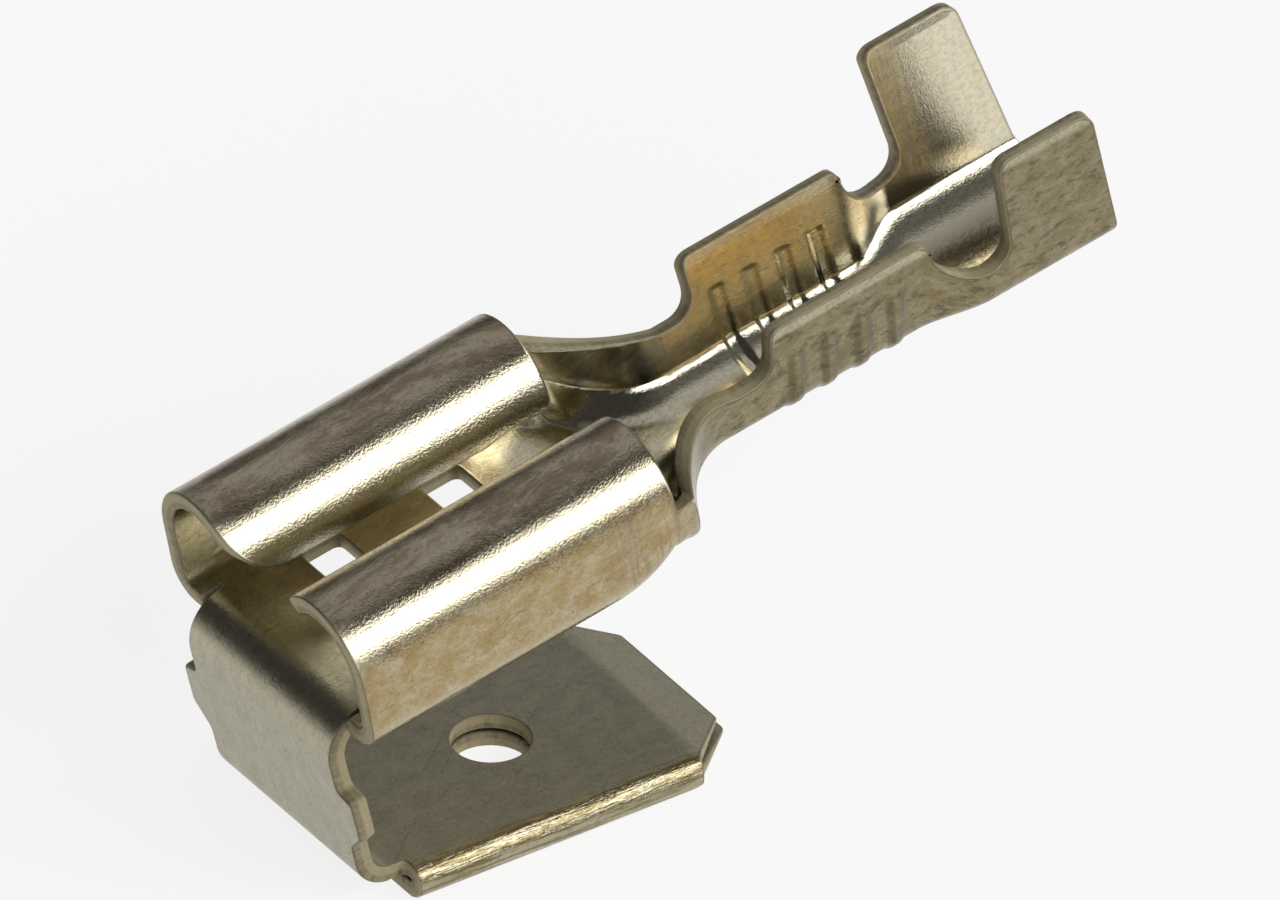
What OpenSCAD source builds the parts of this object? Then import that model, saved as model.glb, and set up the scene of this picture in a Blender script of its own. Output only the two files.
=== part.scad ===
// Piggyback push-on terminal, stamped and folded from one strip of sheet.
// A rolled receptacle and an open crimp stand over a doubled male tab.
// The origin is the axis of the tab's hole at the tab's underside; +X runs towards the cable.

/* [Sheet] */
// Thickness of the sheet
sheet_t = 0.4; // [0.32:0.02:0.48]

/* [Tab] */
// Width of the tab
tab_w = 6.3; // [6:0.1:6.6]
// Distance from the hole to the tip
tab_tip = 4.42; // [4:0.02:5]
// Distance from the hole to the front end of the hems
hem_reach = 3.85; // [3.5:0.05:4]
// Diameter of the detent hole
hole_d = 1.66; // [1.2:0.02:2]
// Length of each chamfered corner at the tip
tip_chamfer = 1.42; // [1:0.02:1.8]
// Width of the edge at the tip
tip_w = 3.46; // [3:0.02:4]
// Length of the bevels at the tip
bevel_len = 1.12; // [0.8:0.02:1.4]
// Depth of the bevels at the tip
tip_bevel = 0.19; // [0.1:0.01:0.25]
// Gap between the two layers of the tab
layer_gap = 0.04; // [0.02:0.01:0.08]
// Gap between the folded edges on the underside
seam_gap = 0.12; // [0.06:0.02:0.2]

/* [Front fold] */
// Width of the strip at its two bends
strip_w = 5.14; // [4.8:0.02:5.4]
// Width of the strip across its shoulders
shoulder_w = 6.1; // [5.8:0.02:6.3]
// Height of the shoulders' upper edge
shoulder_top = 3.4; // [3.2:0.02:3.6]
// Height of the shoulders' lower edge
shoulder_base = 2.3; // [2.1:0.02:2.5]
// Length of each slanted shoulder edge
shoulder_slope = 0.5; // [0.3:0.05:0.6]
// Distance from the hole to the lower bend
fold_reach = 4.19; // [4.05:0.02:4.4]
// Outside radius of the lower bend
lower_r = 0.85; // [0.7:0.05:1]
// Outside radius of the upper bend
upper_r = 1.03; // [0.85:0.02:1.2]
// Straight length between the bends
fold_len = 2.78; // [2.5:0.02:3.2]
// Forward lean of the strip
fold_lean = 13.5; // [10:0.5:16]

/* [Receptacle] */
// Rise of the receptacle towards the cable
rise_angle = 10.93; // [8:0.1:14]
// Outside width of the receptacle
receptacle_w = 7.3; // [7:0.05:7.6]
// Length of the rolled sides
roll_len = 7.8; // [7:0.1:8.4]
// How far the rolled sides reach past the upper bend
roll_overhang = 0.48; // [0.3:0.02:0.6]
// Outside radius of the rolled sides
roll_r = 1.43; // [1.3:0.01:1.5]
// Outside height of the receptacle
receptacle_h = 3.18; // [3:0.02:3.4]
// Sweep of each roll, from the outside wall to its lip
roll_sweep = 183; // [178:1:196]
// Outside radius of the floor's corners
corner_r = 0.7; // [0.5:0.05:0.9]
// Radius of the lips' front corners
lip_front_r = 1.4; // [0.8:0.05:1.6]
// Radius of the lips' rear corners
lip_rear_r = 0.4; // [0.2:0.05:0.8]
// Straight wall between the floor's corner and the roll at the rolls' rear end
rear_wall = 0.12; // [0.06:0.01:0.4]
// Length over which the floor's corners grow
flare_len = 1.6; // [1.2:0.05:1.7]
// Length of each slot in the floor
slot_len = 0.92; // [0.7:0.02:1.1]
// Width of each slot across the floor
slot_w = 4.5; // [3.8:0.1:4.9]
// Radius of the slots' corners
slot_r = 0.16; // [0.08:0.01:0.3]
// Distance between the two slots' centres
slot_pitch = 2.95; // [2.7:0.05:3.2]
// Distance from the upper bend to the middle of the bridge
bridge_mid = 3.66; // [3.4:0.02:3.9]
// Height of the detent dome on the bridge
dome_h = 0.22; // [0.14:0.02:0.3]
// Diameter of the detent dome
dome_d = 1.3; // [1:0.05:1.5]

/* [Neck] */
// Length of the neck behind the rolls
neck_len = 2.9; // [2.6:0.1:3.3]
// Length of the neck's wall that stays at full width behind the rolls
neck_lag = 0.42; // [0.3:0.01:0.6]
// How far the neck's walls tip inwards just behind the rolls
neck_tuck = 16; // [8:1:24]
// How much rounder the neck's floor is than a straight run between its ends
neck_belly = 1; // [0.5:0.05:1.2]
// Height from the neck's wall up to the start of the roll where they part
neck_drop = 0.04; // [0.02:0.01:0.06]
// Height of the neck's wall at its highest
neck_high = 1.94; // [1.84:0.02:2.1]
// Height of the neck's wall where it meets the wire barrel
neck_foot = 1.62; // [1.5:0.02:1.75]

/* [Barrels] */
// Outside radius between a barrel's round floor and its wings
knee_r = 0.6; // [0.54:0.02:0.7]
// Length of the coined bevels along the wings' tops
coin_len = 0.25; // [0.15:0.01:0.35]
// Depth of the coined bevels on each face
coin_depth = 0.09; // [0.05:0.01:0.12]

/* [Wire barrel] */
// Outside radius of the round floor
wire_r = 1.7; // [1.5:0.02:1.9]
// Bend from the floor into each wing
wire_bend = 79.5; // [76:0.5:84]
// Distance from the neck to the front of the wings
wire_gap = 0.92; // [0.8:0.02:1.1]
// Length of the wire wings
wire_len = 4.0; // [3.7:0.02:4.4]
// Height of the wire wings
wire_h = 2.9; // [2.7:0.05:3.2]
// Radius at the foot of the wings' front edge
wire_foot_r = 0.5; // [0.2:0.02:0.7]
// Radius of the wings' top corners
wire_corner_r = 0.3; // [0.2:0.05:0.5]
// Number of crimp ridges
ridge_count = 4; // [3:1:4]
// Distance between crimp ridges
ridge_pitch = 0.83; // [0.7:0.01:0.85]
// Distance from the wings' front edge to the first ridge
ridge_first = 0.6; // [0.4:0.02:0.8]
// Width of each ridge
ridge_w = 0.3; // [0.2:0.02:0.4]
// Depth of each ridge
ridge_depth = 0.06; // [0.04:0.01:0.12]
// Height of each ridge's upper end
ridge_h = 2.04; // [1.8:0.02:2.3]

/* [Insulation barrel] */
// Outside radius of the round floor
grip_r = 2.55; // [2.3:0.05:2.8]
// Bend from the floor into each wing
grip_bend = 80; // [76:0.5:84]
// Width of the notch between the barrels
notch_w = 1.64; // [1.4:0.02:1.8]
// Height of the notch's bottom
notch_h = 1.62; // [1.4:0.02:1.8]
// Radius of the notch's rear corner
notch_rear_r = 0.56; // [0.4:0.02:0.8]
// Length of the insulation wings at their foot
grip_len = 2.78; // [2.4:0.02:3.1]
// Height of the insulation wings
grip_h = 4.58; // [4:0.01:5]
// Distance from the change of section's front to the middle of the notch
blend_reach = 1.15; // [0.9:0.05:1.4]
// Distance from the middle of the notch to the change of section's rear
blend_lag = 0.4; // [0.2:0.05:0.45]
// Forward lean of the wings' front edge
grip_front_lean = 4; // [0:1:6]
// Forward lean of the wings' rear edge
grip_rear_lean = 7.5; // [0:0.5:10]
// Radius of the wings' front corners
grip_front_r = 0.3; // [0.15:0.05:0.6]
// Radius of the wings' rear corners
grip_rear_r = 0.4; // [0.2:0.05:0.8]

/* [Hidden] */
$fn = 64;

sheet_color = "#b3a98d";
tab_t = 2 * sheet_t;
half_w = receptacle_w / 2;
// Centre of the upper bend in the upright strip's frame
upper_c = [upper_r - lower_r, 0, fold_len];
roll_c = [half_w - roll_r, receptacle_h - roll_r];
rear_corner_r = roll_c[1] - rear_wall;
neck_low = roll_c[1] - neck_drop;
lip_z = roll_c[1] + roll_r * sin(roll_sweep);
roll_front = -roll_overhang;
roll_rear = roll_front + roll_len;
flare_front = roll_rear - flare_len;
neck_rear = roll_rear + neck_len;
wire_front = neck_rear + wire_gap;
wire_rear = wire_front + wire_len;
grip_front = wire_rear + notch_w;
grip_rear = grip_front + grip_len;
notch_mid = wire_rear + notch_w / 2;
// The loft between the barrels begins and ends this far from the middle of the notch
blend_front = notch_mid - blend_reach;
blend_rear = notch_mid + blend_lag;
dome_r = (pow(dome_d / 2, 2) + pow(dome_h, 2)) / (2 * dome_h);
// How far the shoulders' upper edges fall towards their outer ends
shoulder_drop = 0.12;
// Width of the relief slits beside the upper bend
relief = 0.06;
// How far the flare's walls reach up into the rolls
roll_weld = 0.04;
// Bend at which a channel's round floor gives way to its knees
knee_at = 45;
// Half width of the flat left in the middle of each barrel's floor
barrel_flat = 0.05;
flare_steps = 5;
neck_steps = 18;
blend_steps = 6;
floor_steps = 6;
knee_steps = 4;
// Largest step between the corners that bound a ring sector
sector_step = 30;
// How fast the neck's walls climb, draw in and sharpen behind the rolls
climb_power = 4;
draw_power = 2.2;
knee_power = 8;
// Shares of the neck's length at which its walls tip in most and its floor is roundest
tuck_at = 0.1;
belly_at = 0.2;
// The neck's sections crowd towards the rolls by this power
neck_crowd = 1.5;
// Least straight wall above the neck's knees
neck_edge = 0.02;
// Share of the neck's length over which the slant of its walls is taken
slant_step = 0.1;
// Share of the slanted walls' thickness that is left where the sheet is drawn
slant_share = 0.7;
// A loft's ends lie inside the faces that they meet by this much
loft_inset = 0.004;
over = 1;
wide = 2 * receptacle_w;

function dir(a) = [cos(a), sin(a)];
function mix(a, b, s) = a + (b - a) * s;
function ease_out(s, power) = 1 - pow(1 - s, power);
function ease_both(s) = s * s * (3 - 2 * s);
function flip(points) = [for (p = points) [-p[0], p[1]]];
function backwards(list) = [for (i = [len(list) - 1 : -1 : 0]) list[i]];
function both_sides(points) = concat(points, backwards(flip(points)));

// Channel as [half width of its flat, floor's outside radius, knees' outside radius, bend into the wings]
flare_channel = [half_w - corner_r, corner_r, corner_r, 90];
mouth_channel = [half_w - rear_corner_r, rear_corner_r, rear_corner_r, 90];
wire_channel = [barrel_flat, wire_r, knee_r, wire_bend];
grip_channel = [barrel_flat, grip_r, knee_r, grip_bend];

function floor_centre(channel) = [channel[0], channel[1]];
function knee_centre(channel) = floor_centre(channel) + (channel[1] - channel[2]) * dir(knee_at - 90);

// Point of a channel's straight wall at one depth in the sheet and one height
function wall_point(channel, depth, height) =
  let (foot = knee_centre(channel) + (channel[2] - depth) * dir(channel[3] - 90))
  foot + dir(channel[3]) * (height - foot[1]) / sin(channel[3]);

// How far a channel's outside reaches from the edge of its flat at one height on its wall
function reach(channel, height) = wall_point(channel, 0, height)[0] - channel[0];

// One side of a channel at one depth, from the floor to the top of the wing, where coin is taken off
function channel_side(channel, depth, top, coin) =
  concat(
    [for (i = [0 : floor_steps])
      floor_centre(channel) + (channel[1] - depth) * dir(knee_at * i / floor_steps - 90)],
    [for (i = [1 : knee_steps])
      knee_centre(channel) + (channel[2] - depth) * dir(mix(knee_at, channel[3], i / knee_steps) - 90)],
    coin == 0 ? [] : [wall_point(channel, depth, top - coin_len * sin(channel[3]))],
    [wall_point(channel, depth + coin, top)]
  );

// Closed section between two depths: the outside from wing to wing, then back along the inside
// The slant is what is added to the walls' thickness where they don't run along X
function channel_section(channel, from, to, top, coin = 0, slant = 0) =
  let (
    outside = channel_side(channel, from, top, coin),
    inside = channel_side(channel - [slant, 0, 0, 0], to, top, -coin)
  )
  concat(backwards(flip(outside)), outside, backwards(inside), flip(inside));

// Section of a loft, which lies inside the faces that it meets
function loft_section(channel, height, coin = 0, slant = 0) =
  channel_section(channel, loft_inset, sheet_t - loft_inset, height - loft_inset, coin, slant);

// Solid through closed sections of equal count, at stations along X
module loft(stations, sections) {
  n = len(sections[0]);
  last = len(sections) - 1;
  points = [for (k = [0 : last]) for (p = sections[k]) [stations[k], p[0], p[1]]];
  sides = [for (k = [0 : last - 1]) for (i = [0 : n - 1]) let (
    a = k * n + i,
    b = k * n + (i + 1) % n
  ) each [[a, b + n, b], [a, a + n, b + n]]];
  cap = [for (i = [0 : n / 2 - 2]) each [[i, i + 1, n - 2 - i], [i, n - 2 - i, n - 1 - i]]];
  rear = [for (f = cap) last * [n, n, n] + backwards(f)];
  polyhedron(points, concat(sides, cap, rear));
}

// Ring sector of sheet with the given outside radius, between two angles
module arc_band(r, from, to) {
  steps = ceil((to - from) / sector_step);
  intersection() {
    difference() {
      circle(r);
      circle(r - sheet_t);
    }
    polygon(concat([[0, 0]], [for (i = [0 : steps]) 2 * r * dir(mix(from, to, i / steps))]));
  }
}

// What rounding takes off a corner at p, whose edges leave it at angles a1 and a2
module corner_loss(p, a1, a2, r) {
  half = (a2 - a1) / 2;
  run = r / tan(half);
  centre = p + dir(a1 + half) * r / sin(half);
  end_1 = p + run * dir(a1);
  end_2 = p + run * dir(a2);
  difference() {
    polygon([
      centre,
      end_2,
      end_2 + over * dir(a2 + 90),
      p - over * dir(a1 + half),
      end_1 + over * dir(a1 - 90),
      end_1
    ]);
    translate(centre)
      circle(r);
  }
}

// Extrudes a section along X
module along_x(from, to) {
  translate([from, 0, 0])
    rotate([90, 0, 90])
      linear_extrude(to - from)
        children();
}

// Extrudes a side view across Y
module across(width) {
  rotate([90, 0, 0])
    linear_extrude(width, center = true)
      children();
}

// Frame of the upright strip: its origin is the lower bend's centre, Z runs up the strip
module upright() {
  translate([-fold_reach, 0, sheet_t + lower_r])
    rotate([0, -fold_lean, 0])
      children();
}

// Frame of the raised receptacle: X along its floor from the upper bend, Z from the floor's underside
module raised() {
  upright()
    translate(upper_c)
      rotate([0, fold_lean - rise_angle, 0])
        translate([0, 0, upper_r - sheet_t])
          children();
}

// Chamfered corners and bevelled faces of the tab's tip
module tip_cuts() {
  chamfer_x = tab_tip - tip_chamfer;
  bevel_x = tab_tip - bevel_len;
  past = tab_tip + over;
  for (side = [-1, 1])
    translate([0, 0, -over])
      linear_extrude(tab_t + 2 * over)
        polygon([
          [chamfer_x, side * tab_w / 2],
          [tab_tip, side * tip_w / 2],
          [past, side * tip_w / 2],
          [past, side * tab_w],
          [chamfer_x, side * tab_w]
        ]);
  depth = tip_bevel * (past - bevel_x) / bevel_len;
  for (face = [0, 1])
    across(wide)
      translate([0, face * tab_t])
        mirror([0, face])
          polygon([[bevel_x, 0], [past, depth], [past, -over], [bevel_x, -over]]);
}

// Doubled tab: the edges fold under in round hems and meet at a seam
module tab() {
  hem_y = tab_w / 2 - sheet_t;
  difference() {
    along_x(-hem_reach, tab_tip) {
      translate([-hem_y, 0])
        square([2 * hem_y, tab_t]);
      for (side = [-1, 1])
        translate([side * hem_y, sheet_t])
          circle(sheet_t);
    }
    tip_cuts();
    along_x(-hem_reach - over, tab_tip + over) {
      translate([-hem_y, sheet_t - layer_gap / 2])
        square([2 * hem_y, layer_gap]);
      translate([-seam_gap / 2, -over])
        square([seam_gap, over + sheet_t]);
    }
    translate([0, 0, -over])
      cylinder(h = tab_t + 2 * over, d = hole_d);
  }
}

// Side view of the upright strip and its two bends
module fold_profile() {
  arc_band(lower_r, 180, 270 - fold_lean);
  translate([-lower_r, 0])
    square([sheet_t, fold_len]);
  translate([upper_c[0], upper_c[2]])
    arc_band(upper_r, 90 + rise_angle - fold_lean, 180);
}

// Single layer that joins the tab to the receptacle, with a shoulder on each side
module front_fold() {
  foot = sheet_t + lower_r;
  translate([-fold_reach, -strip_w / 2, sheet_t])
    cube([fold_reach - hem_reach, strip_w, sheet_t]);
  upright()
    intersection() {
      across(wide)
        fold_profile();
      along_x(-wide, wide)
        polygon(both_sides([
          [strip_w / 2, -wide],
          [strip_w / 2, shoulder_base - shoulder_slope - foot],
          [shoulder_w / 2, shoulder_base - foot],
          [shoulder_w / 2, shoulder_top - shoulder_drop - foot],
          [strip_w / 2, shoulder_top - foot],
          [strip_w / 2, wide]
        ]));
    }
}

// Section of the receptacle's floor, corners and walls
module trough_profile() {
  polygon(channel_section(flare_channel, 0, sheet_t, roll_c[1]));
}

// Section of the two rolls
module roll_profile() {
  for (side = [0, 1])
    mirror([side, 0])
      translate(roll_c)
        arc_band(roll_r, 0, roll_sweep);
}

// Rear end of the trough, where the floor's corners grow rounder under the rolls
module flare() {
  shares = [for (i = [0 : flare_steps]) i / flare_steps];
  loft(
    [for (s = shares) mix(flare_front, roll_rear, s)],
    [for (s = shares) loft_section(mix(flare_channel, mouth_channel, s * s), roll_c[1] + roll_weld)]
  );
}

// Pressed dome on the bridge between the slots; depth moves it through the sheet
module dome(depth) {
  translate([bridge_mid, 0, sheet_t + dome_h - dome_r - depth])
    sphere(dome_r);
}

// Outline of one slot in the floor
module slot() {
  straight_x = slot_len - 2 * slot_r;
  straight_y = slot_w - 2 * slot_r;
  square([straight_x, slot_w], center = true);
  square([slot_len, straight_y], center = true);
  for (x = [-1, 1], y = [-1, 1])
    translate([x * straight_x / 2, y * straight_y / 2])
      circle(slot_r);
}

module receptacle() {
  floor_clear = (sheet_t + lip_z) / 2;
  difference() {
    union() {
      along_x(roll_front, flare_front)
        trough_profile();
      along_x(roll_front, roll_rear)
        roll_profile();
      intersection() {
        dome(0);
        translate([bridge_mid - dome_d, -dome_d, sheet_t / 2])
          cube([2 * dome_d, 2 * dome_d, sheet_t + dome_h]);
      }
    }
    dome(sheet_t);
    across(2 * roll_c[0]) {
      corner_loss([roll_front, lip_z], 0, 90, lip_front_r);
      corner_loss([roll_rear, lip_z], 90, 180, lip_rear_r);
    }
    translate([roll_front - over, -strip_w / 2 - relief, -over])
      cube([roll_overhang + over, strip_w + 2 * relief, floor_clear + over]);
    for (end = [-1, 1])
      translate([bridge_mid + end * slot_pitch / 2, 0, -over])
        linear_extrude(floor_clear + over)
          slot();
  }
}

// Height of the neck's wall, which climbs fast behind the rolls and sinks towards the wire barrel
function neck_wall(s) = mix(mix(neck_low, neck_high, ease_out(s, climb_power)), neck_foot, s * s * s);

// Swells from the rolls to its height at one share of the neck and dies out towards the wire barrel
function swell(s, at) = s / at * exp(1 - s / at) * (1 - s);

// How far the neck's walls are drawn in, which begins a little behind the rolls
function neck_drawn(s) =
  let (lag = neck_lag / neck_len)
  ease_out(max(0, s - lag) / (1 - lag), draw_power);

// Half width of the neck at its walls' upper edge
function neck_half(s) = mix(half_w, barrel_flat + reach(wire_channel, neck_foot), neck_drawn(s));

// Channel along the neck: its walls tip in at first, then draw in over a rounder floor
function neck_channel(s) =
  let (
    height = neck_wall(s),
    bend = mix(90, wire_bend, neck_drawn(s)) + neck_tuck * swell(s, tuck_at),
    r = mix(rear_corner_r, wire_r, s) + neck_belly * swell(s, belly_at),
    room = (height - neck_edge - r * (1 - cos(knee_at))) / (cos(knee_at) - cos(bend)),
    knee = min(room, mix(rear_corner_r, knee_r, ease_out(s, knee_power)))
  )
  [neck_half(s) - reach([0, r, knee, bend], height), r, knee, bend];

// What the slant of the neck's walls adds to their thickness across it
function neck_slant(s) =
  let (
    front = max(0, s - slant_step),
    rear = min(1, s + slant_step),
    slope = (neck_half(front) - neck_half(rear)) / (2 * slant_step * neck_len)
  )
  slant_share * sheet_t * (sqrt(1 + slope * slope) - 1);

module neck() {
  shares = [for (i = [0 : neck_steps]) pow(i / neck_steps, neck_crowd)];
  loft(
    [for (s = shares) mix(roll_rear, neck_rear, s)],
    [for (s = shares) loft_section(neck_channel(s), neck_wall(s), 0, neck_slant(s))]
  );
}

// Wire barrel with raised ridges outside and matching grooves inside
module wire_barrel() {
  ridge_x = [for (i = [0 : ridge_count - 1]) wire_front + ridge_first + i * ridge_pitch];
  difference() {
    union() {
      along_x(neck_rear, blend_front)
        polygon(channel_section(wire_channel, 0, sheet_t, wire_h, coin_depth));
      for (x = ridge_x)
        along_x(x - ridge_w / 2, x + ridge_w / 2)
          polygon(channel_section(wire_channel, -ridge_depth, sheet_t / 2, ridge_h));
    }
    for (x = ridge_x)
      along_x(x - ridge_w / 2, x + ridge_w / 2)
        polygon(channel_section(wire_channel, sheet_t - ridge_depth, sheet_t + ridge_depth, ridge_h));
  }
}

module insulation_barrel() {
  along_x(blend_rear, grip_rear)
    polygon(channel_section(grip_channel, 0, sheet_t, grip_h, coin_depth));
}

// Change of section between the barrels
module barrel_blend() {
  shares = [for (i = [0 : blend_steps]) i / blend_steps];
  loft(
    [for (s = shares) mix(blend_front, blend_rear, s)],
    [for (s = shares) loft_section(mix(wire_channel, grip_channel, ease_both(s)), wire_h, coin_depth)]
  );
}

// Side outline of the wings: what is cut away above the neck, in the notch and at the rear
module wing_cuts() {
  lean_base = notch_h + notch_rear_r;
  front_top = [grip_front - (grip_h - lean_base) * tan(grip_front_lean), grip_h];
  rear_top = [grip_rear - grip_h * tan(grip_rear_lean), grip_h];
  past_top = grip_h + over;
  across(wide) {
    difference() {
      translate([neck_rear - over, neck_foot])
        square([wire_gap + over, wire_h]);
      corner_loss([wire_front, neck_foot], 90, 180, wire_foot_r);
    }
    corner_loss([wire_front, wire_h], -90, 0, wire_corner_r);
    corner_loss([wire_rear, wire_h], 180, 270, wire_corner_r);
    difference() {
      polygon([
        [wire_rear, notch_h],
        [grip_front, notch_h],
        [grip_front, lean_base],
        front_top,
        [front_top[0], past_top],
        [wire_rear, past_top]
      ]);
      corner_loss([wire_rear, notch_h], 0, 90, notch_w - notch_rear_r);
      corner_loss([grip_front, notch_h], 90, 180, notch_rear_r);
    }
    corner_loss(front_top, grip_front_lean - 90, 0, grip_front_r);
    corner_loss(rear_top, 180, 270 + grip_rear_lean, grip_rear_r);
    polygon([
      rear_top + grip_h * dir(90 + grip_rear_lean),
      rear_top - 2 * grip_h * dir(90 + grip_rear_lean),
      [grip_rear + grip_h, -grip_h],
      [grip_rear + grip_h, past_top]
    ]);
  }
}

module crimp() {
  difference() {
    union() {
      wire_barrel();
      barrel_blend();
      insulation_barrel();
    }
    wing_cuts();
  }
}

module terminal() {
  color(sheet_color) {
    tab();
    front_fold();
    raised() {
      receptacle();
      flare();
      neck();
      crimp();
    }
  }
}

terminal();
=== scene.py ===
"""Piggyback spade terminal: one folded strip of plated brass sheet on a pale studio floor.

The sheet is cut as a flat blank, meshed, and folded by one map from the blank to the finished form.
On the blank, p runs along the strip (0 where the upper bend meets the receptacle's floor, rising towards the
cable) and s runs across it. Lengths are in millimetres until the mesh is made.
"""

import math

import bpy
import numpy as np
from mathutils import Matrix, Vector
from mathutils.geometry import delaunay_2d_cdt


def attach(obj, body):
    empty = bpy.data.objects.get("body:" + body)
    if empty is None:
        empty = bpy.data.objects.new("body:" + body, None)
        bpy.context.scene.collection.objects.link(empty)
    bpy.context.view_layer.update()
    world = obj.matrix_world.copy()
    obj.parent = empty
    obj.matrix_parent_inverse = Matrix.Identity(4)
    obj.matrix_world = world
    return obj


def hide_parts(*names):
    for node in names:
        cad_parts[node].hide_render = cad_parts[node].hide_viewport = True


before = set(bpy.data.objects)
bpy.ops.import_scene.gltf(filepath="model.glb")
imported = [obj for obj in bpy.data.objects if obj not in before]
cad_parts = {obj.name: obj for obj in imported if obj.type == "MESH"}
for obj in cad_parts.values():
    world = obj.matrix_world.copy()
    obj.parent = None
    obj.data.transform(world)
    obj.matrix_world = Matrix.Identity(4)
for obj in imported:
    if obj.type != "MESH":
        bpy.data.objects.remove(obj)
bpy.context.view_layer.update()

MM = 0.001

# Sheet and tab
SHEET_T = 0.4
TAB_W = 6.3
TAB_TIP = 4.42
HEM_REACH = 3.85
HOLE_R = 0.83
TIP_CHAMFER = 1.42
TIP_W = 3.46
BEVEL_LEN = 1.12
BEVEL_SKEW = 0.1
BEVEL_EASE = 0.08
TIP_BEVEL = 0.19
LAYER_GAP = 0.05
SEAM_GAP = 0.12
TIP_STEP = 0.1
TIP_PART = 0.03
TIP_CORNER_R = 0.15
CHAMFER_R = 0.3
HEM_CORNER_R = 0.15
SEAM_TIP_R = 0.1

# Front fold
STRIP_W = 5.14
SHOULDER_W = 6.1
SHOULDER_TOP = 3.4
SHOULDER_BASE = 2.3
SHOULDER_SLOPE = 0.5
SHOULDER_DROP = 0.12
FOLD_REACH = 4.19
LOWER_R = 0.85
UPPER_R = 1.03
FOLD_LEN = 2.78
FOLD_LEAN = math.radians(13.5)
SHOULDER_R = 0.12
SHOULDER_LOW_R = 0.2
SHOULDER_FOOT_R = 0.3
HEM_NOTCH_R = 0.1

# Receptacle
RISE = math.radians(10.93)
RECEPTACLE_W = 7.3
ROLL_LEN = 7.8
ROLL_OVERHANG = 0.48
ROLL_R = 1.43
RECEPTACLE_H = 3.18
ROLL_SWEEP = math.radians(183)
CORNER_R = 0.7
REAR_WALL = 0.12
FLARE_LEN = 1.6
LIP_FRONT_R = 1.4
LIP_REAR_R = 0.4
SLOT_LEN = 0.92
SLOT_W = 4.5
SLOT_PITCH = 2.95
SLOT_CORNER_R = 0.16
BRIDGE_MID = 3.66
DOME_H = 0.22
DOME_D = 1.3
RELIEF = 0.06

# Neck
NECK_LEN = 2.9
NECK_LAG = 0.42
NECK_TUCK = math.radians(16)
TUCK_AT = 0.1
NECK_BELLY = 1.0
BELLY_AT = 0.2
NECK_DROP = 0.04
NECK_HIGH = 1.94
NECK_FOOT = 1.62
NECK_EDGE = 0.02
CLIMB_POWER = 4
DRAW_POWER = 2.2
KNEE_POWER = 8
FOOT_POWER = 3
SLANT_STEP = 0.1
SLANT_SHARE = 0.7

# Barrels
KNEE_AT = math.radians(45)
KNEE_R = 0.6
BARREL_FLAT = 0.05
COIN_LEN = 0.25
COIN_DEPTH = 0.09
COIN_INSIDE = 0.5

# Wire barrel
WIRE_R = 1.7
WIRE_BEND = math.radians(79.5)
WIRE_GAP = 0.92
WIRE_LEN = 4.0
WIRE_H = 2.9
WIRE_FOOT_R = 0.5
WIRE_CORNER_R = 0.3
RIDGE_COUNT = 4
RIDGE_PITCH = 0.83
RIDGE_FIRST = 0.6
RIDGE_W = 0.3
RIDGE_DEPTH = 0.06
RIDGE_H = 2.04
RIDGE_CREST = 1.25
RIDGE_FLANK = 1.5
RIDGE_END = 0.05
RIDGE_FADE = 0.12

# Insulation barrel
GRIP_R = 2.55
GRIP_BEND = math.radians(80)
NOTCH_W = 1.64
NOTCH_H = 1.62
NOTCH_REAR_R = 0.56
GRIP_LEN = 2.78
GRIP_H = 4.58
BLEND_REACH = 1.15
BLEND_LAG = 0.4
GRIP_FRONT_LEAN = math.radians(4)
GRIP_REAR_LEAN = math.radians(7.5)
GRIP_FRONT_R = 0.3
GRIP_REAR_R = 0.4

# Worked out from the above
TAB_T = 2 * SHEET_T
HALF_T = SHEET_T / 2
HALF_W = RECEPTACLE_W / 2
HEM_Y = TAB_W / 2 - SHEET_T
ROLL_Z = RECEPTACLE_H - ROLL_R
ROLL_MID_R = ROLL_R - HALF_T
LIP_Z = ROLL_Z + ROLL_R * math.sin(ROLL_SWEEP)
REAR_CORNER_R = ROLL_Z - REAR_WALL
NECK_LOW = ROLL_Z - NECK_DROP
ROLL_FRONT = -ROLL_OVERHANG
ROLL_REAR = ROLL_FRONT + ROLL_LEN
FLARE_FRONT = ROLL_REAR - FLARE_LEN
NECK_REAR = ROLL_REAR + NECK_LEN
WIRE_FRONT = NECK_REAR + WIRE_GAP
WIRE_REAR = WIRE_FRONT + WIRE_LEN
GRIP_FRONT = WIRE_REAR + NOTCH_W
GRIP_REAR = GRIP_FRONT + GRIP_LEN
NOTCH_MID = WIRE_REAR + NOTCH_W / 2
BLEND_FRONT = NOTCH_MID - BLEND_REACH
BLEND_REAR = NOTCH_MID + BLEND_LAG

# The path of the strip in the XZ plane: bend centres, and where each stretch ends, as p
LOWER_C = np.array([-FOLD_REACH, SHEET_T + LOWER_R])
UP = np.array([-math.sin(FOLD_LEAN), math.cos(FOLD_LEAN)])
BACK = np.array([math.cos(FOLD_LEAN), math.sin(FOLD_LEAN)])
UPPER_C = LOWER_C + BACK * (UPPER_R - LOWER_R) + UP * FOLD_LEN
UPPER_START = math.pi / 2 + RISE
UPPER_END = math.pi + FOLD_LEAN
LOWER_END = 3 * math.pi / 2
UPPER_P = -(UPPER_R - HALF_T) * (UPPER_END - UPPER_START)
STRIP_P = UPPER_P - FOLD_LEN
LOWER_P = STRIP_P - (LOWER_R - HALF_T) * (LOWER_END - UPPER_END)
HOLE_P = LOWER_P - FOLD_REACH
TIP_P = HOLE_P - TAB_TIP
HEM_P = HOLE_P + HEM_REACH
HEM_MID_R = HALF_T
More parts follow.
